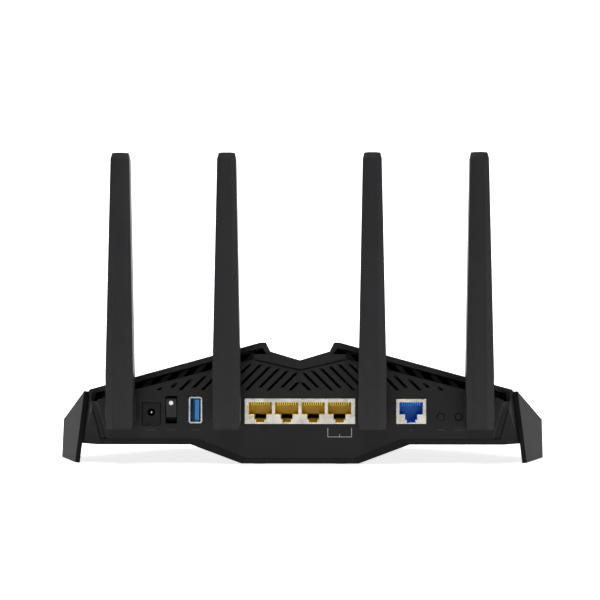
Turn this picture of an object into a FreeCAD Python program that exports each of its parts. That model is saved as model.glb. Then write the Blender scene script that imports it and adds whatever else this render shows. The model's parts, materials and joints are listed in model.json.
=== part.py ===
import FreeCAD, Part
import math
import os

# A desktop wireless router with four tilting antennas, in millimetres.
# +Z is up, the status lights face -Y and the sockets face +Y.
# The origin is on the floor, under the middle of the whole router.
# Left and right are as seen from the sockets' side: left is +X.

Vec = FreeCAD.Vector

# Overall size
WIDTH = 273.8
DEPTH = 184.4
HEIGHT = 164.6
HALF_WIDTH = WIDTH / 2.0
FRONT_Y = -DEPTH / 2.0
BACK_Y = DEPTH / 2.0

# Rear panel: the flat face that the sockets open in
PANEL_Y = BACK_Y - 18.0
PANEL_THICK = 2.2
PANEL_VALLEY_Z = 50.6
PANEL_PEAK_X = 24.0
PANEL_PEAK_Z = 56.2
PANEL_END_TOP_X = 107.9
PANEL_END_TOP_Z = 34.6
PANEL_END_LOW_X = 102.1
END_LEAN = (PANEL_END_TOP_X - PANEL_END_LOW_X) / (PANEL_END_TOP_Z - 13.85)
END_BEVEL = 1.9
END_DEEP = 1.3
END_REACH = 4.2
V_BEVEL = 1.9

# Roof: two wing covers that fall to the sides and to the front, and a V-shaped spine
ROOF_THICK = 3.0
RIDGE_X = 21.0
RIDGE_INNER_X = 18.1
RIDGE_Z = 65.4
SIDE_FALL = 0.2414
FRONT_FALL = 0.238
SPINE_EDGE_X = 15.7
SPINE_EDGE_Z = 60.4
SPINE_VALLEY_Z = 55.7
SPINE_LEDGE_X = 24.6
SPINE_LEDGE_Z = 58.9
ROOF_BACK_Y = PANEL_Y - 1.5

# Side fins: the planted legs, with the wing covers ending against them
FIN_THICK = 2.6
FIN_BACK_Y = PANEL_Y - 14.0
FIN_BACK_TOP_X = 117.0
FIN_BACK_LOW_X = 121.8
FIN_WIDE_Y = PANEL_Y - 68.0
FIN_FRONT_X = 94.0
FIN_FRONT_Y = -64.0
FIN_FLOOR_Z = 0.3
FIN_TUCK = 0.9
FIN_KNEE_Y = -2.0
FIN_KNEE_Z = 7.5
FIN_FRONT_LOW_Z = 7.0

# Base tray: a low keel in the middle with a flat underside out to each fin
KEEL_Z = 0.5
KEEL_HALF = 31.2
KEEL_INNER_HALF = 28.5
TRAY_FLOOR = 2.8
SIDE_UNDER_X = 58.3
SIDE_UNDER_Z = 10.6
SIDE_INNER_X = 54.2
SIDE_INNER_Z = 13.7
WALL = 2.2
SEAM = 0.15
NOSE_HALF = 50.0
NOSE_SIDE_Y = -87.0
BEZEL_THICK = 2.6

# Circuit board, level with the underside of every socket
BOARD_TOP_Z = 21.35
BOARD_THICK = 1.6
BOARD_HALF = 98.0
BOARD_BACK_Y = PANEL_Y - 3.0
BOARD_FRONT_Y = -10.0

# Sockets: centre and outside size of each, as X, Z, width, height
DC_JACK = (79.1, 27.0, 9.2, 11.3)
SWITCH = (68.5, 29.2, 6.1, 14.5)
USB = (55.5, 29.1, 7.1, 14.0)
LAN = (0.0, 28.5, 58.7, 13.4)
WAN = (-59.0, 28.4, 15.9, 13.1)
LAN_PITCH = 14.05
SOCKET_GAPS = {DC_JACK: 0.4, SWITCH: 0.1}
BUTTON_Z = 25.5
WPS_X = -74.8
RESET_X = -84.2
BUTTON_R = 1.85
BUTTON_CLEAR = 0.2

# Network socket mouth: the plug's opening, the latch notch and the tab slot below it
MOUTH_WIDTH = 12.2
MOUTH_TOP_Z = 33.2
MOUTH_LOW_Z = 26.9
LATCH_WIDTH = 6.3
LATCH_Z = 24.1
TAB_WIDTH = 4.4
TAB_Z = 22.5
SOCKET_DEPTH = 21.0
CAVITY_DEPTH = 14.0
SHEET = 0.45

# Vent slots: 45 degree slots in the rear panel, mirrored about the middle
SLOT_WIDTH = 1.35
SLOT_PITCH = 5.85
SLOT_COUNT = 13
SLOT_FIRST_X = 5.4
SLOT_LOW_Z = 39.5
SLOT_STAGGER = 1.45
SLOT_TOP_MARGIN = 1.9
SLOT_MIDDLE_GAP = 1.1

# Antennas
ANTENNA_XS = (94.2, 38.2, -38.2, -94.2)
ANTENNA_LOW_Z = 19.6
ANTENNA_WIDE_Z = 48.0
PIVOT_Y = PANEL_Y + 11.8
PIVOT_Z = 29.4
PIN_R = 1.6
PIN_CLEAR = 0.05
TONGUE_HALF = 3.0
TONGUE_GAP = 0.3
KNUCKLE_HALF = 7.2
KNUCKLE_HEIGHT = 13.8
KNUCKLE_DEPTH = 8.4
BLADE_SPLIT_Y = PIVOT_Y - 0.6

# Feet and screws
FOOT_R = 5.5
FOOT_HIGH = 1.6
FOOT_SPOTS = ((22.0, 60.0), (-22.0, 60.0), (22.0, -58.0), (-22.0, -58.0))
CASE_SCREW_SPOTS = ((9.0, -62.0), (-9.0, -62.0), (80.0, -22.0), (-80.0, -22.0))
BOARD_SCREW_SPOTS = ((92.0, 46.0), (-92.0, 46.0), (92.0, 4.0), (-92.0, 4.0), (46.0, -4.0), (-46.0, -4.0))
SCREW_R = 1.3
SCREW_HEAD_R = 2.6
SCREW_HEAD_HIGH = 1.8
POST_R = 3.2


# ---------- helpers ----------

def polygon_face(points):
    return Part.Face(Part.makePolygon(points + [points[0]]))


def back_block(outline, y_low, y_high):
    """A block whose outline is drawn in X and Z."""
    face = polygon_face([Vec(x, y_low, z) for x, z in outline])
    return face.extrude(Vec(0, y_high - y_low, 0))


def plan_block(outline, z_low, z_high):
    """A block whose outline is drawn in X and Y."""
    face = polygon_face([Vec(x, y, z_low) for x, y in outline])
    return face.extrude(Vec(0, 0, z_high - z_low))


def side_block(outline, x_low, x_high):
    """A block whose outline is drawn in Y and Z."""
    face = polygon_face([Vec(x_low, y, z) for y, z in outline])
    return face.extrude(Vec(x_high - x_low, 0, 0))


def box(x_low, x_high, y_low, y_high, z_low, z_high):
    return Part.makeBox(x_high - x_low, y_high - y_low, z_high - z_low, Vec(x_low, y_low, z_low))


def rod(radius, start, end):
    return Part.makeCylinder(radius, (end - start).Length, start, end - start)


def roof_block(outline, y_back, y_front):
    """A block drawn in X and Z at the rear panel that runs forward and falls with the roof."""
    lift = FRONT_FALL * (y_back - PANEL_Y)
    face = polygon_face([Vec(x, y_back, z + lift) for x, z in outline])
    run = y_back - y_front
    return face.extrude(Vec(0, -run, -FRONT_FALL * run))


def beyond(p, q, r, inset=0.0):
    """A large block on the side of a plane that (q - p) x (r - p) points to, moved back by inset."""
    reach = 400.0
    normal = (q - p).cross(r - p).normalize()
    along = (q - p).normalize()
    across = normal.cross(along)
    base = p - normal * inset
    signs = ((-1, -1), (1, -1), (1, 1), (-1, 1))
    corners = [base + along * (a * reach) + across * (b * reach) for a, b in signs]
    return polygon_face(corners).extrude(normal * reach)


def on_plane_x(p, q, r, y, z):
    """The X of the point at y and z on the plane through three points."""
    normal = (q - p).cross(r - p)
    return p.x - (normal.y * (y - p.y) + normal.z * (z - p.z)) / normal.x


def mirrored(shape):
    return shape.mirror(Vec(0, 0, 0), Vec(1, 0, 0))


def both_sides(shape):
    return shape.fuse(mirrored(shape)).removeSplitter()


def fused(shapes):
    whole = shapes[0]
    for shape in shapes[1:]:
        whole = whole.fuse(shape)
    return whole.removeSplitter()


def less(shape, tools):
    for tool in tools:
        shape = shape.cut(tool)
    return shape


def socket_box(socket, y_low, y_high, grow=0.0):
    """The outside of a socket, in X and Z, between two depths."""
    x, z, width, height = socket
    half_w = width / 2.0 + grow
    half_h = height / 2.0 + grow
    return box(x - half_w, x + half_w, y_low, y_high, z - half_h, z + half_h)


def wing_z(x, y):
    """Height of a wing cover's top face."""
    return RIDGE_Z - SIDE_FALL * (abs(x) - RIDGE_X) - FRONT_FALL * (PANEL_Y - y)


# ---------- fins ----------

FIN_A = Vec(FIN_BACK_TOP_X, FIN_BACK_Y, wing_z(FIN_BACK_TOP_X, FIN_BACK_Y))
FIN_B = Vec(HALF_WIDTH, FIN_WIDE_Y, wing_z(HALF_WIDTH, FIN_WIDE_Y))
FIN_D = Vec(FIN_BACK_LOW_X, FIN_BACK_Y, FIN_FLOOR_Z)
FIN_E = Vec(FIN_FRONT_X, FIN_FRONT_Y, wing_z(FIN_FRONT_X, FIN_FRONT_Y))


def fin_low_corner():
    """The floor corner below the widest point, on the plane of the fin's rear face."""
    normal = (FIN_B - FIN_A).cross(FIN_D - FIN_A)
    low_x = HALF_WIDTH - FIN_TUCK
    step = normal.x * (low_x - FIN_A.x) + normal.z * (FIN_FLOOR_Z - FIN_A.z)
    return Vec(low_x, FIN_A.y - step / normal.y, FIN_FLOOR_Z)


FIN_C = fin_low_corner()


def fin_front_point(y, z):
    """A point of the fin's front face."""
    return Vec(on_plane_x(FIN_B, FIN_C, FIN_E, y, z), y, z)


FIN_F = fin_front_point(FIN_FRONT_Y, FIN_FRONT_LOW_Z)
FIN_KNEE = fin_front_point(FIN_KNEE_Y, FIN_KNEE_Z)


def plate(points, thick):
    """A flat plate behind an outer face, towards the router's middle."""
    normal = (points[1] - points[0]).cross(points[2] - points[0]).normalize()
    if normal.x > 0:
        normal = normal * -1.0
    return polygon_face(points).extrude(normal * thick)


def side_fin():
    """The left fin: a rear plate and a front plate that meet at the widest point."""
    return fused([
        plate([FIN_A, FIN_B, FIN_C, FIN_D], FIN_THICK),
        plate([FIN_B, FIN_E, FIN_F, FIN_KNEE, FIN_C], FIN_THICK),
    ])


def outside_fins(inset):
    """Everything outboard of the left fin's faces, moved inboard by inset."""
    return [beyond(FIN_A, FIN_B, FIN_D, inset), beyond(FIN_B, FIN_E, FIN_C, inset)]


# ---------- roof ----------

def roof_outline(inset):
    """The left half of the roof from above, ending at the fins and the nose."""
    return [
        (0.0, FRONT_Y + inset),
        (NOSE_HALF, NOSE_SIDE_Y + inset),
        (FIN_FRONT_X + 2.0, FIN_FRONT_Y - 1.0 + inset),
        (HALF_WIDTH + 5.0, FIN_WIDE_Y),
        (FIN_BACK_TOP_X, FIN_BACK_Y),
        (RIDGE_X, ROOF_BACK_Y),
        (0.0, ROOF_BACK_Y),
    ]


def screw_post(x, y, z_low, z_high, depth):
    """A post with a blind screw hole in its lower end."""
    post = rod(POST_R, Vec(x, y, z_low), Vec(x, y, z_high))
    return post.cut(rod(SCREW_R, Vec(x, y, z_low - 1.0), Vec(x, y, z_low + depth)))


def wing_cover():
    """The left wing cover, with a steep inner edge down to the spine and a post for a case screw."""
    far = HALF_WIDTH + 10.0
    far_z = RIDGE_Z - SIDE_FALL * (far - RIDGE_X)
    section = [
        (SPINE_EDGE_X, SPINE_EDGE_Z - 1.4),
        (SPINE_EDGE_X, SPINE_EDGE_Z),
        (RIDGE_INNER_X, RIDGE_Z),
        (RIDGE_X, RIDGE_Z),
        (far, far_z),
        (far, far_z - ROOF_THICK),
        (RIDGE_X, RIDGE_Z - ROOF_THICK),
        (RIDGE_INNER_X + 1.6, RIDGE_Z - ROOF_THICK),
        (SPINE_EDGE_X + 2.0, SPINE_EDGE_Z - 1.4),
    ]
    cover = roof_block(section, ROOF_BACK_Y, FRONT_Y - 5.0)
    cover = cover.common(plan_block(roof_outline(0.0), -10.0, HEIGHT))
    cover = less(cover, outside_fins(FIN_THICK))
    x, y = CASE_SCREW_SPOTS[2]
    top = wing_z(x, y) - ROOF_THICK / 2.0
    return cover.fuse(screw_post(x, y, SIDE_INNER_Z, top, 8.0)).removeSplitter()


def spine_section(low_valley, low_edge):
    """Half of the spine's section: the V-shaped top, a ledge under the wing cover and an underside."""
    return [
        (0.0, SPINE_VALLEY_Z),
        (SPINE_EDGE_X, SPINE_EDGE_Z),
        (SPINE_EDGE_X, SPINE_LEDGE_Z),
        (SPINE_LEDGE_X, SPINE_LEDGE_Z),
        (SPINE_LEDGE_X, low_edge),
        (0.0, low_valley),
    ]


def centre_spine():
    """The V-shaped roof piece between the wing covers, with two screw posts near the nose."""
    clear = 0.2
    thick_end = roof_block(
        spine_section(PANEL_VALLEY_Z + clear, PANEL_PEAK_Z + clear), PANEL_Y - 0.6, PANEL_Y - 4.0
    )
    low_edge = SPINE_LEDGE_Z - 2.0
    valley_low = SPINE_VALLEY_Z - ROOF_THICK
    channel = roof_block(spine_section(valley_low, low_edge), PANEL_Y - 4.0, FRONT_Y - 5.0)
    outline = plan_block(roof_outline(0.0), -10.0, HEIGHT)
    back = box(0.0, SPINE_LEDGE_X, ROOF_BACK_Y - 1.0, PANEL_Y, 0.0, HEIGHT)
    spine = both_sides(thick_end.fuse(channel).common(outline.fuse(back)))
    for x, y in CASE_SCREW_SPOTS[:2]:
        top = valley_low + 3.5 - FRONT_FALL * (PANEL_Y - y)
        spine = spine.fuse(screw_post(x, y, KEEL_Z + TRAY_FLOOR, top, 8.0))
    return spine.removeSplitter()


# ---------- base tray ----------

def tray_form(inset, back_y):
    """The left half of the tray's outer form, or of its hollow with an inset."""
    floor = [
        (0.0, KEEL_Z),
        (KEEL_HALF, KEEL_Z),
        (SIDE_UNDER_X, SIDE_UNDER_Z),
        (HALF_WIDTH, SIDE_UNDER_Z),
    ]
    if inset > 0.0:
        floor = [
            (0.0, KEEL_Z + TRAY_FLOOR),
            (KEEL_INNER_HALF, KEEL_Z + TRAY_FLOOR),
            (SIDE_INNER_X, SIDE_INNER_Z),
            (HALF_WIDTH, SIDE_INNER_Z),
        ]
    form = back_block(floor + [(HALF_WIDTH, HEIGHT), (0.0, HEIGHT)], FRONT_Y, back_y)
    front = BEZEL_THICK + SEAM + inset
    outline = [
        (0.0, FRONT_Y + front),
        (NOSE_HALF, NOSE_SIDE_Y + front),
        (FIN_FRONT_X, FIN_FRONT_Y + front),
        (HALF_WIDTH, FIN_WIDE_Y),
        (HALF_WIDTH, back_y),
        (0.0, back_y),
    ]
    form = form.common(plan_block(outline, -5.0, HEIGHT))
    return less(form, outside_fins(FIN_THICK + SEAM + inset) + [cheek_cut(inset)])


def cheek_cut(inset):
    """Beyond the slanted cheek that runs from the rear panel's end out to the fin."""
    low = Vec(PANEL_END_LOW_X + 3.9, PANEL_Y - 0.6, SIDE_UNDER_Z)
    high = Vec(PANEL_END_TOP_X + 4.9, PANEL_Y - 0.6, 36.0)
    ahead = Vec(FIN_BACK_TOP_X + 0.6, FIN_BACK_Y, SIDE_UNDER_Z)
    return beyond(low, high, ahead, inset)


def roof_space():
    """Everything above the underside of the left half of the roof."""
    drop = ROOF_THICK + SEAM
    far = HALF_WIDTH + 10.0
    section = [
        (0.0, SPINE_VALLEY_Z - drop),
        (SPINE_LEDGE_X + SEAM, SPINE_LEDGE_Z - 2.0 - SEAM),
        (SPINE_LEDGE_X + SEAM, RIDGE_Z - SIDE_FALL * (SPINE_LEDGE_X - RIDGE_X) - drop),
        (far, RIDGE_Z - SIDE_FALL * (far - RIDGE_X) - drop),
        (far, 2.0 * HEIGHT),
        (0.0, 2.0 * HEIGHT),
    ]
    return roof_block(section, BACK_Y, FRONT_Y - 5.0)


def lip_cuts():
    """Bevels along the tray's rear lower edge, one for each straight stretch."""
    run = 3.4
    seam = [(0.0, KEEL_Z + TRAY_FLOOR), (KEEL_INNER_HALF, KEEL_Z + TRAY_FLOOR)]
    seam += [(SIDE_INNER_X, SIDE_INNER_Z), (HALF_WIDTH, SIDE_INNER_Z)]
    under = [(0.0, KEEL_Z), (KEEL_HALF, KEEL_Z), (SIDE_UNDER_X, SIDE_UNDER_Z)]
    under += [(HALF_WIDTH, SIDE_UNDER_Z)]
    cuts = []
    for i in range(3):
        top = [Vec(x, PANEL_Y, z) for x, z in seam[i:i + 2]]
        low = [Vec(x, PANEL_Y - run, z) for x, z in under[i:i + 2]]
        wedge = beyond(top[0], top[1], (low[0] + low[1]) * 0.5)
        if wedge.isInside(Vec(0.0, PANEL_Y, HEIGHT), 0.001, True):
            wedge = beyond(top[1], top[0], (low[0] + low[1]) * 0.5)
        stretch = back_block([seam[i], seam[i + 1], under[i + 1], under[i]], PANEL_Y - run, PANEL_Y)
        cuts.append(stretch.common(wedge))
    return cuts


def base_tray():
    """The lower shell: floor, walls behind the fins, posts for the board and pockets for the feet."""
    hollow = tray_form(WALL, PANEL_Y + 5.0)
    half = tray_form(0.0, PANEL_Y).cut(hollow)
    half = half.cut(roof_space())
    end_low = PANEL_END_LOW_X + END_REACH
    high_z = 48.0
    end_high = end_low + END_LEAN * (high_z - SIDE_INNER_Z)
    back = back_block(
        [(0.0, SIDE_INNER_Z), (end_low, SIDE_INNER_Z), (end_high, high_z), (0.0, high_z)],
        PANEL_Y - 8.0, PANEL_Y + 5.0,
    )
    half = less(half, lip_cuts() + [back])
    tray = both_sides(half)
    for x, y in BOARD_SCREW_SPOTS:
        low = SIDE_INNER_Z - 1.0 if abs(x) > SIDE_INNER_X else 9.5
        post = rod(POST_R, Vec(x, y, low), Vec(x, y, BOARD_TOP_Z - BOARD_THICK))
        tray = tray.fuse(post)
        tray = tray.cut(rod(SCREW_R, Vec(x, y, low + 1.5), Vec(x, y, BOARD_TOP_Z)))
    return less(tray, [rubber_feet(), case_screws()] + led_windows())


def rubber_feet():
    """Four round feet set in shallow pockets in the keel."""
    return Part.makeCompound([rod(FOOT_R, Vec(x, y, 0.0), Vec(x, y, FOOT_HIGH)) for x, y in FOOT_SPOTS])


def case_screws():
    """Screws through the tray into the posts of the roof pieces, their heads sunk in the tray."""
    screws = []
    for x, y in CASE_SCREW_SPOTS:
        base = KEEL_Z if abs(x) < KEEL_HALF else SIDE_UNDER_Z
        head = rod(SCREW_HEAD_R, Vec(x, y, base + 0.2), Vec(x, y, base + SCREW_HEAD_HIGH))
        shank = rod(SCREW_R, Vec(x, y, base + 1.0), Vec(x, y, base + TRAY_FLOOR + 7.5))
        slot = box(x - 1.8, x + 1.8, y - 0.35, y + 0.35, base, base + 0.8)
        screws.append(head.fuse(shank).cut(slot))
    return Part.makeCompound(screws)


# ---------- rear panel ----------

def panel_top_z(x):
    """Height of the panel's top edge: a valley in the middle, a peak each side, then a long fall."""
    x = abs(x)
    if x < PANEL_PEAK_X:
        return PANEL_VALLEY_Z + (PANEL_PEAK_Z - PANEL_VALLEY_Z) * x / PANEL_PEAK_X
    fall = (PANEL_PEAK_Z - PANEL_END_TOP_Z) / (PANEL_END_TOP_X - PANEL_PEAK_X)
    return PANEL_PEAK_Z - fall * (x - PANEL_PEAK_X)


def vent_slots(y_low, y_high):
    """The left half's slanted slots, evenly spaced, every other one starting a little higher."""
    slots = []
    half = SLOT_WIDTH / 2.0 * math.sqrt(2.0)
    for i in range(SLOT_COUNT):
        lift = SLOT_STAGGER * (i % 2)
        low_x = SLOT_FIRST_X + SLOT_PITCH * i - lift
        low_z = SLOT_LOW_Z + lift
        run = slot_run(low_x, low_z)
        outline = [
            (low_x - half, low_z),
            (low_x - half - run, low_z + run),
            (low_x + half - run, low_z + run),
            (low_x + half, low_z),
        ]
        slots.append(back_block(outline, y_low, y_high))
    return slots


def slot_run(low_x, low_z):
    """How far a slot climbs towards the middle before it nears the panel's top edge or the middle."""
    run = low_x - SLOT_MIDDLE_GAP
    step = 0.1
    while run > step and low_z + run > panel_top_z(low_x - run) - SLOT_TOP_MARGIN:
        run -= step
    return run


def panel_outline(lift):
    """The left half of the panel in X and Z, its top edge raised by lift."""
    low_z = KEEL_Z + TRAY_FLOOR + SEAM
    return [
        (0.0, low_z),
        (KEEL_INNER_HALF, low_z),
        (SIDE_INNER_X, SIDE_INNER_Z + SEAM),
        (PANEL_END_LOW_X, SIDE_INNER_Z + SEAM),
        (PANEL_END_TOP_X, PANEL_END_TOP_Z + lift),
        (PANEL_PEAK_X, PANEL_PEAK_Z + lift),
        (0.0, PANEL_VALLEY_Z + lift),
    ]


def panel_end_bevel():
    """The slanted bevel at the panel's end and the sunken ledge that reaches out to the cheek."""
    low_z = SIDE_INNER_Z + SEAM
    top_z = PANEL_END_TOP_Z - 1.0
    top_x = PANEL_END_LOW_X + END_LEAN * (top_z - low_z)
    deep = PANEL_Y - END_DEEP
    outer = [(PANEL_END_LOW_X, low_z), (top_x, top_z)]
    near = [Vec(x, PANEL_Y, z) for x, z in outer]
    near += [Vec(x - 2.0, PANEL_Y, z) for x, z in reversed(outer)]
    far = [Vec(x + END_BEVEL, deep, z) for x, z in outer]
    far += [Vec(x - 2.0, deep, z) for x, z in reversed(outer)]
    wires = [Part.makePolygon(points + [points[0]]) for points in (near, far)]
    ledge = [(x + END_REACH - SEAM, z) for x, z in outer]
    ledge += [(x - 2.0, z) for x, z in reversed(outer)]
    return Part.makeLoft(wires, True, True).fuse(back_block(ledge, PANEL_Y - 3.4, deep))


def rear_panel():
    """The plate behind the sockets with its top shelf, vents, openings and end bevels."""
    plate_half = back_block(panel_outline(0.0), PANEL_Y - PANEL_THICK, PANEL_Y)
    plate_half = plate_half.common(roof_block(panel_outline(0.0), PANEL_Y, PANEL_Y - PANEL_THICK))
    shelf_top = [(0.0, PANEL_VALLEY_Z), (PANEL_PEAK_X, PANEL_PEAK_Z), (PANEL_END_TOP_X, PANEL_END_TOP_Z)]
    shelf = shelf_top + [(x, z - 2.0) for x, z in reversed(shelf_top)]
    shelf_plan = [(0.0, PANEL_Y - 8.5), (PANEL_PEAK_X, PANEL_Y - 8.5), (PANEL_END_TOP_X, FIN_BACK_Y - 5.0)]
    shelf_plan += [(PANEL_END_TOP_X, PANEL_Y), (0.0, PANEL_Y)]
    shelf_block = roof_block(shelf, PANEL_Y, FIN_BACK_Y - 10.0)
    shelf_block = shelf_block.common(plan_block(shelf_plan, 0.0, HEIGHT))
    half = plate_half.fuse(shelf_block).fuse(panel_end_bevel())
    bevel = beyond(
        Vec(PANEL_PEAK_X, PANEL_Y, PANEL_PEAK_Z - V_BEVEL),
        Vec(0.0, PANEL_Y, PANEL_VALLEY_Z - V_BEVEL),
        Vec(0.0, PANEL_Y - 1.5, PANEL_VALLEY_Z),
    )
    half = half.cut(bevel.common(box(0.0, PANEL_PEAK_X, 0.0, BACK_Y, 0.0, HEIGHT)))
    half = less(half, vent_slots(PANEL_Y - PANEL_THICK - 1.0, PANEL_Y + 1.0))
    panel = both_sides(half)
    near = PANEL_Y - PANEL_THICK - 2.0
    for socket in (DC_JACK, SWITCH, USB, LAN, WAN):
        grow = SOCKET_GAPS.get(socket, 0.15)
        panel = panel.cut(socket_box(socket, near, PANEL_Y + 1.0, grow))
    for x in (WPS_X, RESET_X):
        panel = panel.cut(rod(BUTTON_R + BUTTON_CLEAR, Vec(x, near, BUTTON_Z), Vec(x, BACK_Y, BUTTON_Z)))
    return panel.cut(cheek_room())


def cheek_room():
    """The space that the tray's walls take up at the panel's ends."""
    low_x = PANEL_END_LOW_X + 2.2
    side = cheek_cut(WALL + SEAM).common(box(low_x, HALF_WIDTH, 0.0, PANEL_Y - 3.6, 0.0, HEIGHT))
    return side.fuse(mirrored(side))


def grille():
    """The left louvred strip in the gap between the panel's shelf and the wing cover."""
    thick = 1.6
    inner_x = SPINE_LEDGE_X + SEAM
    outer_x = 108.0
    plan = [(inner_x, PANEL_Y - 5.2), (outer_x, FIN_BACK_Y - 2.6)]
    plan += [(x, y - thick) for x, y in reversed(plan)]
    strip = plan_block(plan, 0.0, HEIGHT)
    strip = strip.cut(roof_space())
    below = [(0.0, 0.0), (HALF_WIDTH, 0.0), (HALF_WIDTH, panel_top_z(HALF_WIDTH) + SEAM)]
    below += [(PANEL_PEAK_X, PANEL_PEAK_Z + SEAM), (0.0, PANEL_VALLEY_Z + SEAM)]
    strip = strip.cut(roof_block(below, BACK_Y, 0.0))
    return less(strip, grille_slots(outer_x))


def grille_slots(outer_x):
    """Slanted openings through the louvred strip, at twice the pitch of the panel's slots."""
    slots = []
    pitch = 1.6 * SLOT_PITCH
    x = SPINE_LEDGE_X + 5.0
    while x < outer_x - 8.0:
        low_z = panel_top_z(x) + 0.4
        high_z = low_z + 3.6
        outline = [(x, low_z), (x + 5.4, low_z - 1.4), (x + 2.0, high_z - 0.8), (x - 3.4, high_z + 0.6)]
        slots.append(back_block(outline, FIN_BACK_Y - 20.0, BACK_Y))
        x += pitch
    return slots


# ---------- front ----------

def bezel_band(inset_out, inset_in, z_low, z_high):
    """A band that wraps the nose between the two fins."""
    half = []
    for x, y in ((0.0, FRONT_Y), (NOSE_HALF, NOSE_SIDE_Y), (FIN_FRONT_X - 0.2, FIN_FRONT_Y)):
        half.append((x, y))
    outer = [(x, y + inset_out) for x, y in half]
    inner = [(x, y + inset_in) for x, y in reversed(half)]
    return both_sides(plan_block(outer + inner, z_low, z_high))


def light_guide():
    """A translucent strip let into the nose, lit by the status lights behind it."""
    return bezel_band(0.0, BEZEL_THICK, 9.0, 11.4).common(box(-62.0, 62.0, FRONT_Y - 1.0, 0.0, 0.0, 20.0))


def front_bezel():
    """The nose fascia between the fins, with a slot for the light guide."""
    band = bezel_band(0.0, BEZEL_THICK, FIN_FRONT_LOW_Z - 1.5, HEIGHT)
    band = band.cut(roof_space()).cut(mirrored(roof_space()))
    band = less(band, outside_fins(FIN_THICK + SEAM))
    band = less(band, [mirrored(tool) for tool in outside_fins(FIN_THICK + SEAM)])
    return band.cut(light_guide())


# ---------- network sockets ----------

def mouth_outline(x, grow=0.0):
    """The stepped opening of a network socket, in X and Z."""
    half = MOUTH_WIDTH / 2.0 + grow
    latch = LATCH_WIDTH / 2.0 + grow
    tab = TAB_WIDTH / 2.0 + grow
    right = [(x + half, MOUTH_TOP_Z + grow), (x + half, MOUTH_LOW_Z - grow)]
    right += [(x + latch, MOUTH_LOW_Z - grow), (x + latch, LATCH_Z - grow)]
    right += [(x + tab, LATCH_Z - grow), (x + tab, TAB_Z - grow)]
    left = [(2.0 * x - point_x, z) for point_x, z in reversed(right)]
    return right + left


def socket_shield(socket, centres):
    """A folded sheet shell around a socket, open at the back where the insert's rear shows."""
    front = PANEL_Y + 0.4
    back = PANEL_Y - SOCKET_DEPTH
    shell = socket_box(socket, back, front)
    shell = shell.cut(socket_box(socket, back - 1.0, front - SHEET, -SHEET))
    for x in centres:
        shell = shell.cut(back_block(mouth_outline(x, 0.1), PANEL_Y - 2.0, BACK_Y))
    return shell


def socket_insert(socket, x, width):
    """One moulded insert: a block with the plug's cavity and comb grooves for its contacts."""
    centre_z = socket[1]
    half_h = socket[3] / 2.0 - SHEET - 0.05
    front = PANEL_Y + 0.4 - SHEET
    block = box(
        x - width / 2.0, x + width / 2.0, PANEL_Y - SOCKET_DEPTH, front, centre_z - half_h, centre_z + half_h
    )
    block = block.cut(back_block(mouth_outline(x), PANEL_Y - CAVITY_DEPTH, BACK_Y))
    comb = box(x - 5.3, x + 5.3, PANEL_Y - 12.5, PANEL_Y - 1.4, MOUTH_TOP_Z - 1.0, MOUTH_TOP_Z + 1.1)
    return block.cut(comb)


def latch_tunnel(x):
    """The way through an insert that its latch notch opens into."""
    half = LATCH_WIDTH / 2.0
    back_y = PANEL_Y - SOCKET_DEPTH - 1.0
    return box(x - half, x + half, back_y, PANEL_Y - 2.0, LATCH_Z, MOUTH_LOW_Z - 0.3)


def contact_set(x):
    """Eight sprung wires that slope down into the cavity from its roof."""
    wires = []
    pitch = 1.17
    outline = [
        (PANEL_Y - 1.8, MOUTH_TOP_Z + 0.6),
        (PANEL_Y - 1.8, MOUTH_TOP_Z - 0.9),
        (PANEL_Y - CAVITY_DEPTH, MOUTH_TOP_Z - 2.2),
        (PANEL_Y - CAVITY_DEPTH, MOUTH_TOP_Z - 1.7),
        (PANEL_Y - 2.3, MOUTH_TOP_Z - 0.4),
        (PANEL_Y - 2.3, MOUTH_TOP_Z + 0.6),
    ]
    for i in range(8):
        low = x + (i - 3.5) * pitch - 0.22
        wires.append(side_block(outline, low, low + 0.44))
    return wires


def lan_centres():
    return [(i - 1.5) * LAN_PITCH for i in range(4)]


def lan_inserts():
    width = LAN_PITCH - 0.1
    return Part.makeCompound([socket_insert(LAN, x, width).cut(latch_tunnel(x)) for x in lan_centres()])


def lan_contacts():
    return Part.makeCompound([wire for x in lan_centres() for wire in contact_set(x)])


def wan_insert():
    return socket_insert(WAN, WAN[0], WAN[2] - 2.0 * SHEET - 0.1)


def wan_contacts():
    return Part.makeCompound(contact_set(WAN[0]))


# ---------- other sockets and controls ----------

def usb_shell():
    """The folded metal shell of an upright USB socket, with a flared mouth."""
    front = PANEL_Y + 0.6
    shell = socket_box(USB, PANEL_Y - 16.0, front)
    edges = [edge for edge in shell.Edges if abs(edge.tangentAt(edge.FirstParameter).y) > 0.9]
    shell = shell.makeFillet(1.2, edges)
    inner = socket_box(USB, PANEL_Y - 15.4, front + 1.0, -0.75)
    return shell.cut(inner)


def usb_tongue():
    """The blue tongue, set towards one side of the shell, on a block at the shell's back."""
    x, z = USB[:2]
    block = box(x - 2.75, x + 2.75, PANEL_Y - 15.3, PANEL_Y - 11.0, z - 6.2, z + 6.2)
    tongue = box(x - 1.9, x + 0.3, PANEL_Y - 11.5, PANEL_Y - 0.6, z - 5.6, z + 5.6)
    return block.fuse(tongue).removeSplitter()


def usb_contacts():
    """Flat contact blades along the tongue."""
    x, z = USB[:2]
    blades = []
    for i in range(4):
        middle = z + (i - 1.5) * 2.3
        blades.append(box(x + 0.3, x + 0.45, PANEL_Y - 11.0, PANEL_Y - 2.0, middle - 0.5, middle + 0.5))
    return Part.makeCompound(blades)


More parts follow.
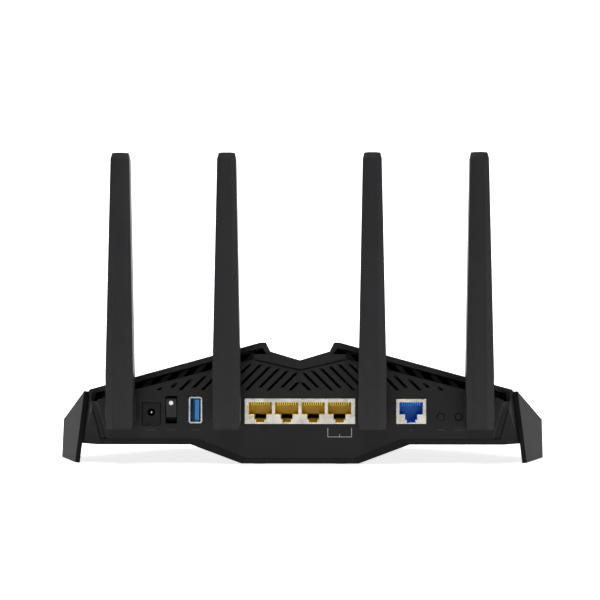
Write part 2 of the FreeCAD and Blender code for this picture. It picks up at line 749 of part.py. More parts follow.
def dc_jack():
    """The power inlet: a square block with a round blind bore, standing just proud of the panel."""
    x, z = DC_JACK[:2]
    body = socket_box(DC_JACK, PANEL_Y - 14.0, PANEL_Y + 0.3)
    bore_z = z + 0.9
    body = body.cut(rod(2.15, Vec(x, PANEL_Y - 10.0, bore_z), Vec(x, BACK_Y, bore_z)))
    rim = box(x - 3.9, x + 3.9, PANEL_Y - 0.1, PANEL_Y + 1.0, z - 4.9, z + 4.9)
    return body.cut(rim)


def dc_pin():
    """The inlet's centre pin, with a domed tip."""
    x, z = DC_JACK[0], DC_JACK[1] + 0.9
    shaft = rod(0.8, Vec(x, PANEL_Y - 10.0, z), Vec(x, PANEL_Y - 1.4, z))
    return shaft.fuse(Part.makeSphere(0.8, Vec(x, PANEL_Y - 1.4, z))).removeSplitter()


SWITCH_PIVOT = Vec(SWITCH[0], PANEL_Y - 3.2, SWITCH[1])


def switch_housing():
    """The frame behind the panel's opening that the rocker tilts in."""
    frame = socket_box(SWITCH, PANEL_Y - 13.0, PANEL_Y - PANEL_THICK, 0.6)
    hollow = socket_box(SWITCH, PANEL_Y - 9.0, BACK_Y)
    hinge = rod(0.65, SWITCH_PIVOT - Vec(3.5, 0, 0), SWITCH_PIVOT + Vec(3.5, 0, 0))
    return frame.cut(hollow).cut(hinge)


def power_rocker():
    """The rocker: its upper half stands out, its lower half is pressed in, and it tilts on stub pins."""
    half_w = SWITCH[2] / 2.0 - 0.3
    y, z = SWITCH_PIVOT.y, SWITCH_PIVOT.z
    outline = [
        (y + 4.1, z + 5.5),
        (y + 2.5, z - 0.4),
        (y + 1.9, z - 4.0),
        (y - 1.2, z - 6.3),
        (y - 2.4, z - 5.4),
        (y - 2.4, z + 4.6),
        (y + 1.0, z + 6.8),
        (y + 3.2, z + 6.2),
    ]
    rocker = side_block(outline, SWITCH[0] - half_w, SWITCH[0] + half_w)
    pin = rod(0.6, SWITCH_PIVOT - Vec(3.4, 0, 0), SWITCH_PIVOT + Vec(3.4, 0, 0))
    return rocker.fuse(pin).removeSplitter()


def push_button(x, face_y):
    """A round button with a collar behind the panel that stops it coming out."""
    cap = rod(BUTTON_R, Vec(x, PANEL_Y - 4.0, BUTTON_Z), Vec(x, face_y, BUTTON_Z))
    edges = [edge for edge in cap.Edges if abs(edge.CenterOfMass.y - face_y) < 0.01]
    cap = cap.makeFillet(0.35, edges)
    collar = rod(2.7, Vec(x, PANEL_Y - 4.4, BUTTON_Z), Vec(x, PANEL_Y - 3.3, BUTTON_Z))
    stem = rod(1.0, Vec(x, PANEL_Y - 7.0, BUTTON_Z), Vec(x, PANEL_Y - 4.0, BUTTON_Z))
    return fused([cap, collar, stem])


def tact_switches():
    """The small switches on the board behind the two buttons."""
    bodies = []
    for x in (WPS_X, RESET_X):
        body = box(x - 3.0, x + 3.0, PANEL_Y - 12.0, PANEL_Y - 9.0, BOARD_TOP_Z, BOARD_TOP_Z + 7.0)
        plunger = rod(1.4, Vec(x, PANEL_Y - 9.2, BUTTON_Z), Vec(x, PANEL_Y - 8.1, BUTTON_Z))
        bodies.append(body.fuse(plunger).removeSplitter())
    return Part.makeCompound(bodies)


# ---------- circuit board ----------

def main_board():
    """The board under the sockets, with its corners cut off and holes for its screws."""
    outline = [(BOARD_HALF, BOARD_BACK_Y), (BOARD_HALF, 0.0), (60.0, BOARD_FRONT_Y)]
    outline += [(-x, y) for x, y in reversed(outline)]
    board = plan_block(outline, BOARD_TOP_Z - BOARD_THICK, BOARD_TOP_Z)
    holes = [rod(SCREW_R, Vec(x, y, 0.0), Vec(x, y, HEIGHT)) for x, y in BOARD_SCREW_SPOTS]
    return less(board, holes)


def board_screws():
    screws = []
    for x, y in BOARD_SCREW_SPOTS:
        head = rod(SCREW_HEAD_R, Vec(x, y, BOARD_TOP_Z), Vec(x, y, BOARD_TOP_Z + SCREW_HEAD_HIGH))
        shank = rod(SCREW_R, Vec(x, y, BOARD_TOP_Z - 6.0), Vec(x, y, BOARD_TOP_Z + 0.5))
        screws.append(head.fuse(shank).removeSplitter())
    return Part.makeCompound(screws)


def processor_chip():
    return box(-10.0, 10.0, 12.0, 32.0, BOARD_TOP_Z, BOARD_TOP_Z + 2.0)


def thermal_pad():
    return box(-9.0, 9.0, 13.0, 31.0, BOARD_TOP_Z + 2.0, BOARD_TOP_Z + 3.0)


def heatsink():
    """A finned aluminium block on the thermal pad."""
    base_z = BOARD_TOP_Z + 3.0
    base = box(-24.0, 24.0, 2.0, 40.0, base_z, base_z + 2.5)
    fins = [base]
    for i in range(13):
        x = -23.0 + i * 46.0 / 12.0
        fins.append(box(x - 0.6, x + 0.6, 2.0, 40.0, base_z + 2.0, base_z + 9.5))
    return fused(fins)


def shield_cans():
    """Two thin metal lids over the radio circuits."""
    cans = []
    for side in (-1.0, 1.0):
        low, high = sorted((side * 32.0, side * 72.0))
        can = box(low, high, 10.0, 42.0, BOARD_TOP_Z, BOARD_TOP_Z + 3.4)
        can = can.cut(box(low + 0.5, high - 0.5, 10.5, 41.5, BOARD_TOP_Z - 1.0, BOARD_TOP_Z + 2.9))
        cans.append(can)
    return Part.makeCompound(cans)


def magnetics():
    """The pulse transformers between the sockets and the processor."""
    spots = [(x, 47.0) for x in (-21.0, -7.0, 7.0, 21.0)] + [(WAN[0], 47.0)]
    return Part.makeCompound(
        [box(x - 5.5, x + 5.5, y - 2.8, y + 2.8, BOARD_TOP_Z, BOARD_TOP_Z + 4.0) for x, y in spots]
    )


def capacitors():
    """Can capacitors beside the power inlet."""
    spots = ((80.0, 50.0), (80.0, 40.0), (80.0, 30.0), (58.0, 49.0))
    return Part.makeCompound(
        [rod(3.2, Vec(x, y, BOARD_TOP_Z), Vec(x, y, BOARD_TOP_Z + 7.5)) for x, y in spots]
    )


def led_spots():
    """X and Y of the lights, in a row that follows the nose."""
    lean = (NOSE_SIDE_Y - FRONT_Y) / NOSE_HALF
    return [((i - 3.0) * 9.0, FRONT_Y + BEZEL_THICK + 1.0 + lean * abs(i - 3.0) * 9.0) for i in range(7)]


def status_leds():
    """Small lights in windows of the tray's front wall, close behind the light guide."""
    return Part.makeCompound([box(x - 1.0, x + 1.0, y, y + 1.2, 9.2, 11.2) for x, y in led_spots()])


def led_windows():
    return [box(x - 1.5, x + 1.5, y - 3.0, y + 5.0, 8.7, 11.7) for x, y in led_spots()]


# ---------- antennas ----------

def blade_section(x, z, half, flat, face_y, depth):
    """One level of an antenna: a flat rear face, two bevels and narrowing sides."""
    points = [(-flat, face_y), (flat, face_y), (half, face_y - 2.0), (half, face_y - depth)]
    points += [(-half, face_y - depth), (-half, face_y - 2.0)]
    corners = [Vec(x + px, py, z) for px, py in points]
    return Part.makePolygon(corners + [corners[0]])


def blade(x):
    """The whole outer form of an antenna, upright, with its tip bevelled off."""
    form = Part.makeLoft([
        blade_section(x, ANTENNA_LOW_Z, 6.9, 3.4, BACK_Y, 11.0),
        blade_section(x, ANTENNA_WIDE_Z, 7.3, 3.45, BACK_Y, 11.0),
        blade_section(x, HEIGHT - 3.3, 5.0, 2.5, BACK_Y, 9.0),
        blade_section(x, HEIGHT, 4.3, 2.1, BACK_Y - 1.8, 6.2),
    ], True, True)
    low_y = BACK_Y - 11.0
    toe = [(low_y - 1.0, ANTENNA_LOW_Z - 1.0), (low_y + 3.0, ANTENNA_LOW_Z - 1.0)]
    toe += [(low_y - 1.0, ANTENNA_LOW_Z + 3.0)]
    return form.cut(side_block(toe, x - 10.0, x + 10.0))


def knuckle(x):
    """The swelling at the hinge: a round-ended block that stands out on both sides."""
    round_r = KNUCKLE_DEPTH / 2.0
    mid_y = PIVOT_Y - 0.3
    reach = KNUCKLE_HEIGHT / 2.0 - round_r
    low = Vec(x - KNUCKLE_HALF, mid_y, PIVOT_Z - reach)
    high = Vec(x - KNUCKLE_HALF, mid_y, PIVOT_Z + reach)
    across = Vec(2.0 * KNUCKLE_HALF, 0, 0)
    core = box(
        x - KNUCKLE_HALF, x + KNUCKLE_HALF, mid_y - round_r, mid_y + round_r,
        PIVOT_Z - reach, PIVOT_Z + reach,
    )
    block = fused([rod(round_r, low, low + across), rod(round_r, high, high + across), core])
    ends = [edge for edge in block.Edges if abs(abs(edge.CenterOfMass.x - x) - KNUCKLE_HALF) < 0.01]
    return block.makeFillet(0.5, ends)


def hinge_pin(x, radius, half):
    return rod(radius, Vec(x - half, PIVOT_Y, PIVOT_Z), Vec(x + half, PIVOT_Y, PIVOT_Z))


def split_block(x):
    """The space of the antenna's front cover, above the knuckle."""
    return box(x - 10.0, x + 10.0, BACK_Y - 15.0, BLADE_SPLIT_Y, 38.5, HEIGHT - 4.5)


def antenna_shell(x):
    """The rear-facing shell with the knuckle, the slot for the bracket's tongue and a hollow."""
    shell = blade(x).cut(split_block(x)).fuse(knuckle(x)).removeSplitter()
    gap = TONGUE_HALF + TONGUE_GAP
    slot = box(x - gap, x + gap, PIVOT_Y - 12.0, PIVOT_Y + 3.7, ANTENNA_LOW_Z - 1.0, PIVOT_Z + 3.8)
    hollow_z = (42.0, HEIGHT - 7.0)
    wires = []
    for z, half in zip(hollow_z, (4.4, 2.7)):
        corners = [(-half, BLADE_SPLIT_Y - 1.0), (half, BLADE_SPLIT_Y - 1.0)]
        corners += [(half, BACK_Y - 2.6), (-half, BACK_Y - 2.6)]
        points = [Vec(x + px, py, z) for px, py in corners]
        wires.append(Part.makePolygon(points + [points[0]]))
    hollow = Part.makeLoft(wires, True, True)
    return less(shell, [slot, hollow, hinge_pin(x, PIN_R, KNUCKLE_HALF - 0.6)])


def antenna_cover(x):
    """The cover on the antenna's other face, above the knuckle."""
    return blade(x).common(split_block(x))


def antenna_board(x):
    """The aerial inside, a narrow strip of circuit board lying on the cover."""
    return box(x - 2.0, x + 2.0, BLADE_SPLIT_Y, BLADE_SPLIT_Y + 0.8, 46.0, 150.0)


def antenna_bracket(x):
    """The fixed bracket: a flange on the panel and a tongue that reaches into the knuckle."""
    flange = box(x - 7.0, x + 7.0, PANEL_Y, PANEL_Y + 1.2, PIVOT_Z - 6.2, PIVOT_Z + 6.2)
    round_r = 3.3
    tongue = box(
        x - TONGUE_HALF, x + TONGUE_HALF, PANEL_Y, PIVOT_Y, PIVOT_Z - round_r, PIVOT_Z + round_r
    )
    end = hinge_pin(x, round_r, TONGUE_HALF)
    bracket = fused([flange, tongue, end])
    return bracket.cut(hinge_pin(x, PIN_R + PIN_CLEAR, 10.0))


# ---------- the whole router ----------

def casing():
    return {
        "base_tray": base_tray(),
        "rear_panel": rear_panel(),
        "wing_cover_left": wing_cover(),
        "wing_cover_right": mirrored(wing_cover()),
        "centre_spine": centre_spine(),
        "side_fin_left": side_fin(),
        "side_fin_right": mirrored(side_fin()),
        "grille_left": grille(),
        "grille_right": mirrored(grille()),
        "front_bezel": front_bezel(),
        "light_guide": light_guide(),
        "rubber_feet": rubber_feet(),
        "case_screws": case_screws(),
    }


def sockets_and_controls():
    return {
        "dc_jack": dc_jack(),
        "dc_pin": dc_pin(),
        "switch_housing": switch_housing(),
        "power_rocker": power_rocker(),
        "usb_shell": usb_shell(),
        "usb_tongue": usb_tongue(),
        "usb_contacts": usb_contacts(),
        "lan_shield": socket_shield(LAN, lan_centres()),
        "lan_inserts": lan_inserts(),
        "lan_contacts": lan_contacts(),
        "wan_shield": socket_shield(WAN, [WAN[0]]),
        "wan_insert": wan_insert(),
        "wan_contacts": wan_contacts(),
        "wps_button": push_button(WPS_X, PANEL_Y + 0.5),
        "reset_button": push_button(RESET_X, PANEL_Y - 0.9),
        "tact_switches": tact_switches(),
    }


def electronics():
    return {
        "main_board": main_board(),
        "board_screws": board_screws(),
        "processor_chip": processor_chip(),
        "thermal_pad": thermal_pad(),
        "heatsink": heatsink(),
        "shield_cans": shield_cans(),
        "magnetics": magnetics(),
        "capacitors": capacitors(),
        "status_leds": status_leds(),
    }


def antennas():
    nodes = {}
    for number, x in enumerate(ANTENNA_XS, start=1):
        nodes["antenna_%d_shell" % number] = antenna_shell(x)
        nodes["antenna_%d_cover" % number] = antenna_cover(x)
        nodes["antenna_%d_board" % number] = antenna_board(x)
        nodes["antenna_%d_pin" % number] = hinge_pin(x, PIN_R, KNUCKLE_HALF - 0.6)
        nodes["antenna_%d_bracket" % number] = antenna_bracket(x)
    return nodes


def main():
    os.makedirs("parts", exist_ok=True)
    nodes = {}
    for group in (casing(), sockets_and_controls(), electronics(), antennas()):
        nodes.update(group)
    for name, shape in nodes.items():
        shape.exportStep("parts/%s.step" % name)
        count = len(shape.Solids)
        print("%-20s solids %2d  valid %s  volume %9.1f" % (name, count, shape.isValid(), shape.Volume))


main()
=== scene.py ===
import bpy
import bmesh
import json
import math
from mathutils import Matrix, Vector


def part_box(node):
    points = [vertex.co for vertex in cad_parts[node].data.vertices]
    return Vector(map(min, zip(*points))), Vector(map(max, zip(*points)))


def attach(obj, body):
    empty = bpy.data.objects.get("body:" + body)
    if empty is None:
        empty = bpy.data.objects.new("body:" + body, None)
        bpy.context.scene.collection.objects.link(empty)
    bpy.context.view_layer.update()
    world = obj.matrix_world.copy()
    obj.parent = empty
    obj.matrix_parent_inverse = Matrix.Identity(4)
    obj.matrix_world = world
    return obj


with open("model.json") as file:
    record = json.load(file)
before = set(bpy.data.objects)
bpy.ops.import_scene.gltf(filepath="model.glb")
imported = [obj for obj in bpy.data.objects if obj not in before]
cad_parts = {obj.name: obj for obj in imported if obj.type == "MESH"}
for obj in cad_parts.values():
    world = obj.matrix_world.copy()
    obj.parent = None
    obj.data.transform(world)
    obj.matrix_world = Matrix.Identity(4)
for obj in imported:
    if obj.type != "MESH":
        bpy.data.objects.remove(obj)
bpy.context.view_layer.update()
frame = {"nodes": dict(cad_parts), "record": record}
nodes = frame["nodes"]

MM = 0.001

# lamp powers in watts, and the strength of the surround
LEFT_POWER = 0.9
RIGHT_POWER = 2.8
HIGH_POWER = 4.0
TOP_POWER = 12.0
WALL_POWER = 24.0
FLOOR_POWER = 0.8
SURROUND = 0.1
TABLE_GLOW = 0.82

# middles and widths of the printed bars, in millimetres, by the socket or button above them
BAR_Z = 18.6
BARS = {
    "jack_bar": (79.1, 5.2),
    "switch_bar": (68.5, 4.6),
    "usb_bar": (55.5, 4.6),
    "wan_bar": (-59.0, 2.2),
    "pairing_bar": (-74.8, 4.6),
    "reset_bar": (-84.2, 4.6),
}

# the network sockets' middles, in millimetres, and the slot each insert takes its finish from
NETWORK_SOCKETS = (
    (21.08, "insert_yellow"),
    (7.02, "insert_yellow"),
    (-7.02, "insert_yellow"),
    (-21.08, "insert_yellow"),
    (-59.0, "insert_blue"),
)
RIB_PITCH = 1.16
RIB_HALF = 0.26


# ---------- small helpers ----------

def linear(hex_code):
    """An sRGB hex colour as linear red, green, blue and alpha."""
    channels = []
    for i in (1, 3, 5):
        c = int(hex_code[i:i + 2], 16) / 255.0
        channels.append(c / 12.92 if c <= 0.04045 else ((c + 0.055) / 1.055) ** 2.4)
    return (*channels, 1.0)


def add(tree, kind, links=None, **settings):
    """Adds a node, sets its attributes or its sockets by name, and links its inputs."""
    made = tree.nodes.new(kind)
    for name, value in settings.items():
        socket = "IOR" if name == "ior" else name.replace("_", " ").title()
        if hasattr(made, name):
            setattr(made, name, value)
        else:
            made.inputs[socket].default_value = value
    for name, source in (links or {}).items():
        tree.links.new(source, made.inputs[name])
    return made


def new_material(name):
    material = bpy.data.materials.new(name)
    material.use_nodes = True
    material.node_tree.nodes.clear()
    return material, material.node_tree


def finish_material(tree, shader):
    add(tree, "ShaderNodeOutputMaterial", {"Surface": shader.outputs[0]})


def ramp(tree, factor, low, high, start=0.0, end=1.0):
    """A colour ramp between two colours over a stretch of the factor."""
    made = add(tree, "ShaderNodeValToRGB", {"Fac": factor})
    made.color_ramp.elements[0].position = start
    made.color_ramp.elements[0].color = low
    made.color_ramp.elements[1].position = end
    made.color_ramp.elements[1].color = high
    return made.outputs["Color"]


def grey(value):
    return (value, value, value, 1.0)


# ---------- finishes ----------

def moulded_plastic(name, base, rubbed, grain_mm, rough, grain_depth, level=0.2):
    """Spark-eroded ABS: a fine even grain that spreads the highlight, slightly paler where rubbed."""
    material, tree = new_material(name)
    place = add(tree, "ShaderNodeTexCoord").outputs["Object"]
    grain = add(tree, "ShaderNodeTexNoise", {"Vector": place}, scale=1.0 / (grain_mm * MM), detail=2.0)
    cloud = add(tree, "ShaderNodeTexNoise", {"Vector": place}, scale=1.0 / (38.0 * MM), detail=3.0)
    speck = add(tree, "ShaderNodeTexVoronoi", {"Vector": place}, scale=1.0 / (2.2 * grain_mm * MM))
    colour = ramp(tree, cloud.outputs["Fac"], linear(base), linear(rubbed), 0.3, 0.75)
    roughness = ramp(tree, grain.outputs["Fac"], grey(rough - 0.06), grey(rough + 0.07), 0.3, 0.7)
    pits = add(tree, "ShaderNodeMath", {0: grain.outputs["Fac"], 1: speck.outputs["Distance"]})
    bump = add(tree, "ShaderNodeBump", {"Height": pits.outputs[0]}, strength=0.55, distance=grain_depth * MM)
    shader = add(
        tree, "ShaderNodeBsdfPrincipled",
        {"Base Color": colour, "Roughness": roughness, "Normal": bump.outputs[0]},
        ior=1.53,
    )
    shader.inputs["Specular IOR Level"].default_value = level
    finish_material(tree, shader)
    return material


def glossy_plastic(name, base, rough):
    """Polished moulded resin: a smooth skin with a faint ripple from the mould."""
    material, tree = new_material(name)
    place = add(tree, "ShaderNodeTexCoord").outputs["Object"]
    ripple = add(tree, "ShaderNodeTexNoise", {"Vector": place}, scale=1.0 / (3.5 * MM), detail=2.0)
    shade = add(tree, "ShaderNodeTexNoise", {"Vector": place}, scale=1.0 / (9.0 * MM), detail=3.0)
    darker = tuple(0.8 * c for c in linear(base)[:3]) + (1.0,)
    colour = ramp(tree, shade.outputs["Fac"], darker, linear(base), 0.35, 0.65)
    roughness = ramp(tree, shade.outputs["Fac"], grey(rough), grey(rough + 0.08))
    bump = add(tree, "ShaderNodeBump", {"Height": ripple.outputs["Fac"]}, strength=0.2, distance=0.03 * MM)
    shader = add(
        tree, "ShaderNodeBsdfPrincipled",
        {"Base Color": colour, "Roughness": roughness, "Normal": bump.outputs[0]},
        ior=1.5,
    )
    finish_material(tree, shader)
    return material


def rolled_metal(name, base, worn, rough, line_mm, stretch):
    """Plated or drawn sheet: faint parallel rolling lines that draw the highlight out along them."""
    material, tree = new_material(name)
    place = add(tree, "ShaderNodeTexCoord").outputs["Object"]
    spread = add(tree, "ShaderNodeMapping", {"Vector": place})
    spread.inputs["Scale"].default_value = stretch
    along = spread.outputs[0]
    lines = add(tree, "ShaderNodeTexNoise", {"Vector": along}, scale=1.0 / (line_mm * MM), detail=3.0)
    cloud = add(tree, "ShaderNodeTexNoise", {"Vector": place}, scale=1.0 / (4.0 * MM), detail=2.0)
    colour = ramp(tree, cloud.outputs["Fac"], linear(worn), linear(base), 0.3, 0.6)
    roughness = ramp(tree, lines.outputs["Fac"], grey(rough - 0.05), grey(rough + 0.1), 0.3, 0.7)
    bump = add(tree, "ShaderNodeBump", {"Height": lines.outputs["Fac"]}, strength=0.35, distance=0.02 * MM)
    shader = add(
        tree, "ShaderNodeBsdfPrincipled",
        {"Base Color": colour, "Roughness": roughness, "Normal": bump.outputs[0]},
        metallic=1.0,
    )
    finish_material(tree, shader)
    return material


def frosted_guide(name, base):
    """Frosted polycarbonate light guide: milky, with light that goes a little way in."""
    material, tree = new_material(name)
    place = add(tree, "ShaderNodeTexCoord").outputs["Object"]
    frost = add(tree, "ShaderNodeTexNoise", {"Vector": place}, scale=1.0 / (0.4 * MM), detail=2.0)
    roughness = ramp(tree, frost.outputs["Fac"], grey(0.32), grey(0.5))
    colour = ramp(tree, frost.outputs["Fac"], linear(base), linear("#EEF1F4"))
    bump = add(tree, "ShaderNodeBump", {"Height": frost.outputs["Fac"]}, strength=0.3, distance=0.02 * MM)
    shader = add(
        tree, "ShaderNodeBsdfPrincipled",
        {"Base Color": colour, "Roughness": roughness, "Normal": bump.outputs[0]},
        ior=1.58,
    )
    shader.inputs["Subsurface Weight"].default_value = 0.35
    shader.inputs["Subsurface Radius"].default_value = (0.002, 0.002, 0.002)
    finish_material(tree, shader)
    return material


def solder_mask(name, base, copper):
    """Fibreglass laminate under solder mask: raised copper tracks show as paler lines."""
    material, tree = new_material(name)
    place = add(tree, "ShaderNodeTexCoord").outputs["Object"]
    cells = add(tree, "ShaderNodeTexVoronoi", {"Vector": place}, scale=1.0 / (3.0 * MM), distance="CHEBYCHEV")
    tracks = ramp(tree, cells.outputs["Distance"], linear(copper), linear(base), 0.28, 0.33)
    weave = add(tree, "ShaderNodeTexNoise", {"Vector": place}, scale=1.0 / (0.6 * MM), detail=1.0)
    roughness = ramp(tree, weave.outputs["Fac"], grey(0.28), grey(0.4))
    bump = add(tree, "ShaderNodeBump", {"Height": tracks}, strength=0.3, distance=0.03 * MM)
    shader = add(
        tree, "ShaderNodeBsdfPrincipled",
        {"Base Color": tracks, "Roughness": roughness, "Normal": bump.outputs[0]},
        ior=1.55,
    )
    finish_material(tree, shader)
    return material


def soft_rubber(name, base, grain_mm):
    """Moulded rubber: dull, with a dusty bloom in its grain."""
    material, tree = new_material(name)
    place = add(tree, "ShaderNodeTexCoord").outputs["Object"]
    grain = add(tree, "ShaderNodeTexNoise", {"Vector": place}, scale=1.0 / (grain_mm * MM), detail=3.0)
    colour = ramp(tree, grain.outputs["Fac"], linear(base), linear("#3A3A3B"), 0.4, 0.9)
    roughness = ramp(tree, grain.outputs["Fac"], grey(0.78), grey(0.92))
    bump = add(tree, "ShaderNodeBump", {"Height": grain.outputs["Fac"]}, strength=0.4, distance=0.05 * MM)
    shader = add(
        tree, "ShaderNodeBsdfPrincipled",
        {"Base Color": colour, "Roughness": roughness, "Normal": bump.outputs[0]},
        ior=1.52,
    )
    finish_material(tree, shader)
    return material


# ---------- the router's finishes ----------

FINISHES = {
    # ABS spark-eroded to a fine even grain: near black, with a wide soft highlight
    "casing_plastic": moulded_plastic("eroded_abs_casing", "#101011", "#161617", 0.35, 0.42, 0.035),
    # the same ABS with a slightly smoother grain on the large roof faces
    "cover_plastic": moulded_plastic("eroded_abs_cover", "#121213", "#171718", 0.30, 0.40, 0.03),
    # ABS inside the gaps, dull, its colour a shade blacker than the casing as painted shade of the gaps
    "grille_plastic": moulded_plastic("shade_darkened_abs_grille", "#0B0B0C", "#101011", 0.40, 0.55, 0.04),
    # ABS antennas, faintly warm in the light
    "antenna_plastic": moulded_plastic("eroded_abs_antenna", "#1D1C1E", "#232224", 0.32, 0.40, 0.03),
    # ABS buttons and rocker, finer and a little shinier from use
    "control_plastic": moulded_plastic("satin_abs_controls", "#141415", "#1B1B1C", 0.22, 0.34, 0.02),
    # nylon inserts: strong colour, waxy sheen
    "insert_yellow": glossy_plastic("yellow_nylon", "#FFE03A", 0.38),
    "insert_blue": glossy_plastic("blue_nylon", "#0A96FF", 0.36),
    "usb_blue": glossy_plastic("blue_nylon_tongue", "#1778B8", 0.34),
    # nickel-plated brass sheet: pale, faint rolling lines
    "socket_metal": rolled_metal("nickel_plated_sheet", "#D9D5CC", "#BDB8AE", 0.27, 0.5, (0.15, 1.0, 1.0)),
    # gold flash over nickel on the contact wires
    "contact_gold": rolled_metal("gold_flashed_wire", "#E2B65A", "#C99B42", 0.25, 0.3, (1.0, 0.2, 1.0)),
    "screw_steel": rolled_metal("zinc_plated_steel", "#C9CBCE", "#A9ABAE", 0.24, 0.4, (1.0, 1.0, 0.2)),
    "pin_steel": rolled_metal("ground_steel_pin", "#B9BABD", "#9A9B9E", 0.22, 0.3, (0.1, 1.0, 1.0)),
    "heatsink_aluminium": rolled_metal("extruded_aluminium", "#C4C6C9", "#AEB0B3", 0.35, 0.5, (1.0, 0.1, 1.0)),
    "light_guide": frosted_guide("frosted_polycarbonate", "#C9CFD6"),
    "board_laminate": solder_mask("green_solder_mask", "#0D3B22", "#1C5A36"),
    "aerial_laminate": solder_mask("green_aerial_mask", "#10452A", "#2B7048"),
    "chip_resin": moulded_plastic("epoxy_resin", "#17181A", "#1F2022", 0.15, 0.5, 0.01),
    "foot_rubber": soft_rubber("moulded_rubber", "#1A1A1B", 0.5),
    "pad_rubber": soft_rubber("silicone_pad", "#5E6C78", 0.4),
}

# the fins and the tray have a coarser, duller grain than the rest of the casing
DULL_CASING = moulded_plastic("coarse_abs_casing", "#131314", "#19191A", 0.45, 0.56, 0.045, 0.04)
DULL_NODES = ("side_fin_left", "side_fin_right", "base_tray")

# edges that a moulding tool leaves, as a radius in millimetres
EDGE_ROUND = {
    "casing_plastic": 0.35,
    "cover_plastic": 0.4,
    "antenna_plastic": 0.3,
    "control_plastic": 0.2,
    "insert_yellow": 0.08,
    "insert_blue": 0.08,
    "socket_metal": 0.1,
    "foot_rubber": 0.3,
}


def dress_frame():
    """Gives every CAD node its finish and rounds the edges that a mould would round."""
    slots = {row["node"]: row["material_slot"] for row in frame["record"]["subparts"]}
    for name, piece in nodes.items():
        slot_name = slots[name]
        piece.data.materials.clear()
        piece.data.materials.append(DULL_CASING if name in DULL_NODES else FINISHES[slot_name])
        if slot_name in EDGE_ROUND:
            round_edges(piece, EDGE_ROUND[slot_name])


def round_edges(piece, radius_mm, angle=30.0, segments=2):
    weld = piece.modifiers.new("weld", "WELD")
    weld.merge_threshold = 0.005 * MM
    bevel = piece.modifiers.new("edge_round", "BEVEL")
    bevel.width = radius_mm * MM
    bevel.segments = segments
    bevel.limit_method = "ANGLE"
    bevel.angle_limit = math.radians(angle)
    bevel.use_clamp_overlap = True
    bevel.harden_normals = False
    for face in piece.data.polygons:
        face.use_smooth = False


dress_frame()


# ---------- pieces too fine for the CAD ----------

def flat_plate(name, outline, thickness, finish, body):
    """A thin plate from a closed outline of rear-facing points (x, y, z), raised towards the rear."""
    made = bmesh.new()
    near = [made.verts.new(Vector(point)) for point in outline]
    far = [made.verts.new(Vector(point) + Vector((0.0, thickness, 0.0))) for point in outline]
    made.faces.new(near)
    made.faces.new(list(reversed(far)))
    count = len(outline)
    for i in range(count):
        j = (i + 1) % count
        made.faces.new((near[i], far[i], far[j], near[j]))
    bmesh.ops.recalc_face_normals(made, faces=made.faces)
    mesh = bpy.data.meshes.new(name)
    made.to_mesh(mesh)
    made.free()
    mesh.materials.append(finish)
    piece = bpy.data.objects.new(name, mesh)
    bpy.context.collection.objects.link(piece)
    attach(piece, body)
    return piece


def upright(left, right, low, high, y):
    """A rear-facing rectangle: left, right, low and high in millimetres, y in metres."""
    return [(x * MM, y, z * MM) for x, z in ((left, low), (right, low), (right, high), (left, high))]


def printed_bars():
    """Plain pad-printed bars under each socket and button, and a bracket under one network socket."""
    panel_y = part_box("rear_panel")[1][1] - 0.01 * MM
    height = 0.03 * MM
    for name, (x, width) in BARS.items():
        printed_line(name, x, BAR_Z, width, 0.55, panel_y, height, PAD_PRINT_DIM)
    printed_line("bracket_bar", -21.1, 14.9, 12.6, 0.35, panel_y, height, PAD_PRINT)
    for name, x in (("bracket_arm_left", -14.8), ("bracket_arm_right", -27.4)):
        printed_line(name, x, 17.3, 0.35, 4.8, panel_y, height, PAD_PRINT)
    printed_line("bracket_tick", -21.1, 15.6, 0.35, 1.3, panel_y, height, PAD_PRINT)


def printed_line(name, x, z, width, tall, panel_y, height, ink):
    outline = upright(x - width / 2.0, x + width / 2.0, z - tall / 2.0, z + tall / 2.0, panel_y)
    flat_plate(name, outline, height, ink, "casing")


def rocker_dot():
    """The white dot on the standing half of the rocker."""
    low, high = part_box("power_rocker")
    x = (low[0] + high[0]) / 2.0
    z = low[2] + 0.76 * (high[2] - low[2])
    slope = 1.6 / 5.9
    top_z = high[2] - 1.3 * MM
    outline = []
    for i in range(28):
        turn = 2.0 * math.pi * i / 28.0
        rise = 1.15 * MM * math.sin(turn)
        y = high[1] - slope * (top_z - z - rise) - 0.02 * MM
        outline.append((x + 1.15 * MM * math.cos(turn), y, z + rise))
    flat_plate("rocker_dot", outline, 0.05 * MM, PAD_PRINT_WHITE, "rocker")


def contact_combs():
    """Thin ribs between the contact wires in each network socket's mouth, with a dark plate behind them as
    painted shade of the recess.
    """
    mouth_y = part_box("rear_panel")[1][1] - 1.3 * MM
    back_y = mouth_y - 0.3 * MM
    for number, (x, slot_name) in enumerate(NETWORK_SOCKETS, 1):
        # a thin dark plate behind the ribs: painted shade where the recess behind the contact wires falls into
        # shadow
        shade = upright(x - 5.2, x + 5.2, 31.8, 33.15, back_y)
        dark = FINISHES["grille_plastic"]
        flat_plate(f"contact_painted_shade_{number}", shade, 0.1 * MM, dark, "casing")
        for i in range(9):
            middle = x + (i - 4) * RIB_PITCH
            outline = upright(middle - RIB_HALF, middle + RIB_HALF, 31.7, 33.2, mouth_y)
            name = f"contact_rib_{number}_{i + 1}"
            flat_plate(name, outline, 0.5 * MM, FINISHES[slot_name], "casing")


PAD_PRINT = moulded_plastic("grey_pad_print", "#8C8C8E", "#9A9A9C", 0.2, 0.5, 0.01)
PAD_PRINT_DIM = moulded_plastic("dark_pad_print", "#29292B", "#303032", 0.2, 0.5, 0.01)
PAD_PRINT_WHITE = moulded_plastic("white_pad_print", "#D8D8D6", "#ECECEA", 0.2, 0.5, 0.01)
printed_bars()
rocker_dot()
contact_combs()


# ---------- stage, lights and camera ----------

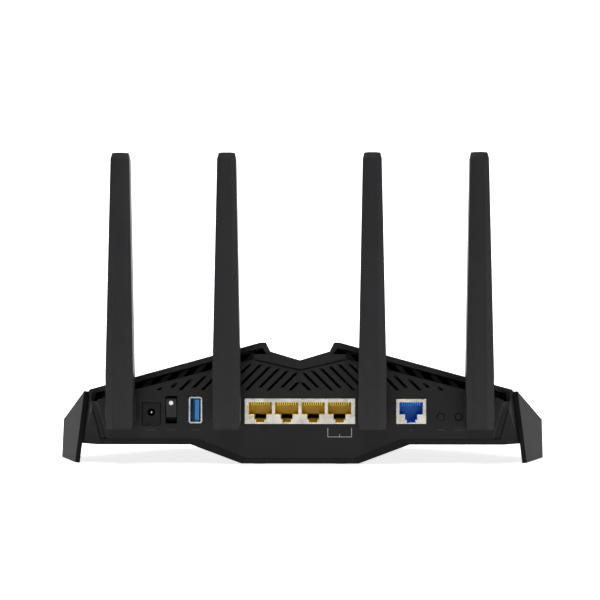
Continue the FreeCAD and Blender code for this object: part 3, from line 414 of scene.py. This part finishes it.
def lay_floor():
    """A backlit white table that runs up into a pale wall well behind the router."""
    made = bmesh.new()
    profile = [(1.0, 0.0), (-1.6, 0.0)]
    bend = 0.8
    for i in range(1, 13):
        turn = math.radians(90.0 * i / 12.0)
        profile.append((-1.6 - bend * math.sin(turn), bend * (1.0 - math.cos(turn))))
    profile.append((-1.6 - bend, 3.0))
    rows = []
    for y, z in profile:
        rows.append([made.verts.new((x, y, z)) for x in (-4.0, 4.0)])
    for near, far in zip(rows, rows[1:]):
        face = made.faces.new((near[0], near[1], far[1], far[0]))
        face.smooth = True
    mesh = bpy.data.meshes.new("studio_floor")
    made.to_mesh(mesh)
    made.free()
    floor = bpy.data.objects.new("studio_floor", mesh)
    bpy.context.collection.objects.link(floor)
    material, tree = new_material("white_paper")
    place = add(tree, "ShaderNodeTexCoord").outputs["Object"]
    tooth = add(tree, "ShaderNodeTexNoise", {"Vector": place}, scale=900.0, detail=2.0)
    colour = ramp(tree, tooth.outputs["Fac"], linear("#F4F4F4"), linear("#FCFCFC"))
    shader = add(tree, "ShaderNodeBsdfPrincipled", {"Base Color": colour}, roughness=0.9)
    shader.inputs["Emission Color"].default_value = linear("#FFFFFF")
    shader.inputs["Emission Strength"].default_value = TABLE_GLOW
    finish_material(tree, shader)
    mesh.materials.append(material)


def hang_light(name, spot, aim, width, height, power):
    lamp = bpy.data.lights.new(name, "AREA")
    lamp.shape = "RECTANGLE"
    lamp.size = width
    lamp.size_y = height
    lamp.energy = power
    holder = bpy.data.objects.new(name, lamp)
    holder.location = spot
    holder.rotation_euler = (Vector(aim) - Vector(spot)).to_track_quat("-Z", "Y").to_euler()
    bpy.context.collection.objects.link(holder)


def light_studio():
    """A large box overhead, a dim one to each side, a bright one on the wall and a dusky surround."""
    middle = (0.0, 0.0, 0.06)
    hang_light("left_box", (1.5, 0.7, 0.5), middle, 0.8, 1.0, LEFT_POWER)
    hang_light("right_box", (-1.5, 0.7, 0.5), middle, 0.8, 1.0, RIGHT_POWER)
    hang_light("top_box", (0.0, -0.1, 1.4), (0.0, 0.0, 0.0), 2.2, 1.6, TOP_POWER)
    hang_light("wall_box", (0.0, -0.9, 1.7), (0.0, -2.4, 0.5), 2.6, 0.8, WALL_POWER)
    hang_light("front_floor_box", (0.0, 1.0, 1.5), (0.0, 1.0, 0.0), 1.6, 0.6, FLOOR_POWER)
    hang_light("high_box", (0.12, 0.95, 0.75), middle, 0.5, 0.3, HIGH_POWER)
    world = bpy.data.worlds.new("studio")
    world.use_nodes = True
    world.node_tree.nodes["Background"].inputs["Color"].default_value = linear("#FFFFFF")
    world.node_tree.nodes["Background"].inputs["Strength"].default_value = SURROUND
    bpy.context.scene.world = world
    bpy.context.scene.view_settings.view_transform = "Standard"


def place_camera():
    """A long lens a little above the floor, almost square to the sockets."""
    lens = bpy.data.cameras.new("camera")
    lens.lens = 98.5
    lens.sensor_width = 36.0
    lens.clip_start = 0.05
    lens.clip_end = 20.0
    holder = bpy.data.objects.new("camera", lens)
    panel_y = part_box("rear_panel")[1][1]
    holder.location = (-0.0165, panel_y + 0.873, 0.0635)
    pitch_up = math.radians(90.0 + 1.58)
    turn = math.radians(180.0 + 1.08)
    holder.rotation_euler = (pitch_up, math.radians(0.0), turn)
    bpy.context.collection.objects.link(holder)
    bpy.context.scene.camera = holder


lay_floor()
light_studio()
place_camera()
